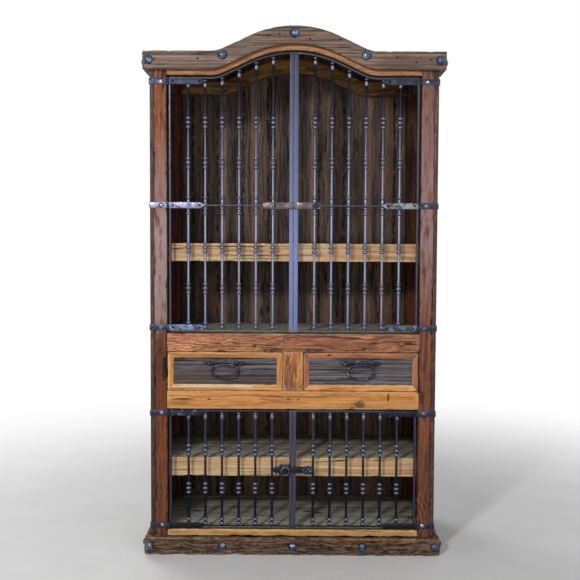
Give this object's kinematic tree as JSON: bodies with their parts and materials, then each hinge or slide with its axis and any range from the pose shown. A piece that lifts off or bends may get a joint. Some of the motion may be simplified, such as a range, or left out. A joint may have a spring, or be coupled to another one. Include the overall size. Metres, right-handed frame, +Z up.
{
  "type": "trastero cabinet",
  "caption": "Tall rustic cabinet with an arched crown, forged baluster doors above and below, a pair of drawers between them, shelves inside and domed nails.",
  "frame": {"origin": "bottom centre of the bounding box, on the floor", "axes": "+Z up, front faces -Y, +X to the right seen from the front"},
  "size_m": [1.236, 0.548, 2.134],
  "materials": {
    "post_wood": "worn, waxed",
    "crown_wood": "worn, waxed",
    "header_wood": "worn, waxed",
    "upper_rail_wood": "worn, waxed",
    "golden_wood": "worn, waxed",
    "panel_wood": "worn, waxed",
    "base_wood": "worn, waxed",
    "inner_wood": "worn, waxed",
    "shelf_wood": "worn, waxed",
    "back_wood": "worn, waxed",
    "side_wood": "worn, waxed",
    "forged_iron": "satin, hand forged",
    "bright_iron": "satin, hand forged"
  },
  "bodies": {
    "carcass": {"front_left_post": "post_wood", "front_right_post": "post_wood", "back_left_post": "post_wood", "back_right_post": "post_wood", "front_header": "header_wood", "back_header": "golden_wood", "crown_front": "crown_wood", "crown_sides": "crown_wood", "base_front": "base_wood", "base_sides": "base_wood", "roof_planks": "back_wood", "left_side_planks": "side_wood", "right_side_planks": "side_wood", "back_planks": "back_wood", "inner_rails": "inner_wood", "upper_mid_rail": "upper_rail_wood", "lower_mid_rail": "golden_wood", "drawer_divider": "panel_wood", "bottom_rail": "golden_wood", "bottom_floor": "inner_wood", "upper_floor": "inner_wood", "upper_shelf": "shelf_wood", "lower_shelf": "shelf_wood", "shelf_cleats": "inner_wood", "drawer_runners": "inner_wood", "crown_clavos": "forged_iron", "base_clavos": "forged_iron", "post_straps": "bright_iron", "hinge_pins": "forged_iron", "strap_nails": "forged_iron"},
    "left_drawer": {"left_drawer_panel": "panel_wood", "left_drawer_moulding": "golden_wood", "left_drawer_box": "inner_wood", "left_pull_plate": "forged_iron"},
    "left_bail": {"left_pull_bail": "forged_iron"},
    "right_drawer": {"right_drawer_panel": "panel_wood", "right_drawer_moulding": "golden_wood", "right_drawer_box": "inner_wood", "right_pull_plate": "forged_iron"},
    "right_bail": {"right_pull_bail": "forged_iron"},
    "upper_left_door": {"upper_left_door_frame": "bright_iron", "upper_left_door_balusters": "forged_iron", "upper_left_door_straps": "bright_iron", "upper_latch_keeper": "bright_iron"},
    "upper_right_door": {"upper_right_door_frame": "bright_iron", "upper_right_door_balusters": "forged_iron", "upper_right_door_straps": "bright_iron", "upper_latch_case": "bright_iron"},
    "upper_bolt": {"upper_latch_bolt": "forged_iron"},
    "lower_left_door": {"lower_left_door_frame": "bright_iron", "lower_left_door_balusters": "forged_iron", "lower_left_door_straps": "bright_iron", "lower_latch_keeper": "bright_iron"},
    "lower_right_door": {"lower_right_door_frame": "bright_iron", "lower_right_door_balusters": "forged_iron", "lower_right_door_straps": "bright_iron", "lower_latch_case": "bright_iron"},
    "lower_bolt": {"lower_latch_bolt": "forged_iron"},
    "upper_peg": {"upper_latch_peg": "forged_iron"},
    "lower_ring": {"lower_latch_ring": "forged_iron"}
  },
  "joints": [
    {"name": "upper_left_door_hinge", "type": "hinge", "parent": "carcass", "child": "upper_left_door", "pos_m": [-0.508, -0.2365, 1.4], "axis": [0, 0, -1], "range_deg": [0, 160]},
    {"name": "upper_right_door_hinge", "type": "hinge", "parent": "carcass", "child": "upper_right_door", "pos_m": [0.508, -0.2365, 1.4], "axis": [0, 0, 1], "range_deg": [0, 160]},
    {"name": "lower_left_door_hinge", "type": "hinge", "parent": "carcass", "child": "lower_left_door", "pos_m": [-0.508, -0.2365, 0.347], "axis": [0, 0, -1], "range_deg": [0, 160]},
    {"name": "lower_right_door_hinge", "type": "hinge", "parent": "carcass", "child": "lower_right_door", "pos_m": [0.508, -0.2365, 0.347], "axis": [0, 0, 1], "range_deg": [0, 160]},
    {"name": "left_drawer_slide", "type": "slide", "parent": "carcass", "child": "left_drawer", "axis": [0, -1, 0], "range_m": [0, 0.34]},
    {"name": "left_bail_swing", "type": "hinge", "parent": "left_drawer", "child": "left_bail", "pos_m": [-0.27625, -0.235, 0.78402], "axis": [-1, 0, 0], "range_deg": [0, 95]},
    {"name": "right_drawer_slide", "type": "slide", "parent": "carcass", "child": "right_drawer", "axis": [0, -1, 0], "range_m": [0, 0.34]},
    {"name": "right_bail_swing", "type": "hinge", "parent": "right_drawer", "child": "right_bail", "pos_m": [0.27625, -0.235, 0.78402], "axis": [-1, 0, 0], "range_deg": [0, 95]},
    {"name": "upper_bolt_slide", "type": "slide", "parent": "upper_right_door", "child": "upper_bolt", "axis": [-1, 0, 0], "range_m": [0, 0.026]},
    {"name": "lower_bolt_slide", "type": "slide", "parent": "lower_right_door", "child": "lower_bolt", "axis": [-1, 0, 0], "range_m": [0, 0.02]},
    {"name": "upper_peg_slide", "type": "slide", "parent": "upper_left_door", "child": "upper_peg", "axis": [-0.7657, 0, 0.6432], "range_m": [0, 0.03]},
    {"name": "lower_ring_swing", "type": "hinge", "parent": "lower_left_door", "child": "lower_ring", "pos_m": [-0.029, -0.244, 0.36], "axis": [-1, 0, 0], "range_deg": [0, 95]}
  ]
}
